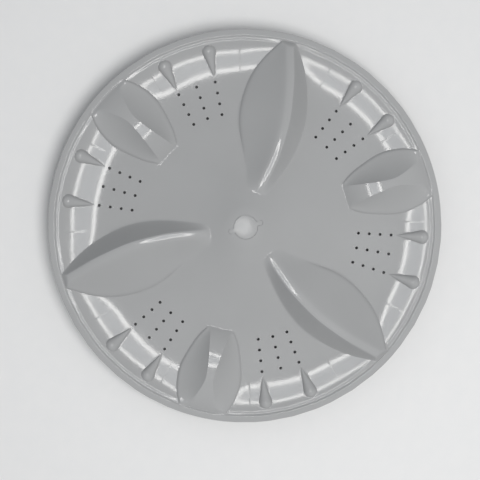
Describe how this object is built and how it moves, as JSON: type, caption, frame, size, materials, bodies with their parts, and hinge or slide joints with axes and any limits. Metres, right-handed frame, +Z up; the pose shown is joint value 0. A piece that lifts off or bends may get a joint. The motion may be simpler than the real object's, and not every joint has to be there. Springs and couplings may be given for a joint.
{
  "type": "washing machine pulsator",
  "caption": "Round ribbed dish with long curved fins, low humps between them, drain holes, a splined hub insert and a snap-in hub cap.",
  "frame": {"origin": "on the shaft's axis, in the plane of the rib edges and the hub boss's lower face", "axes": "+Z up along the drive shaft, +X along the middle of one fin"},
  "size_m": [0.424, 0.424, 0.0492],
  "materials": {
    "plate_plastic": "moulded satin gloss, light grey",
    "cap_plastic": "moulded satin gloss, light grey",
    "insert_metal": "sintered steel, plain"
  },
  "bodies": {
    "root": {"wash_plate": "plate_plastic", "bolt_cap": "cap_plastic", "spline_insert": "insert_metal"}
  },
  "joints": []
}
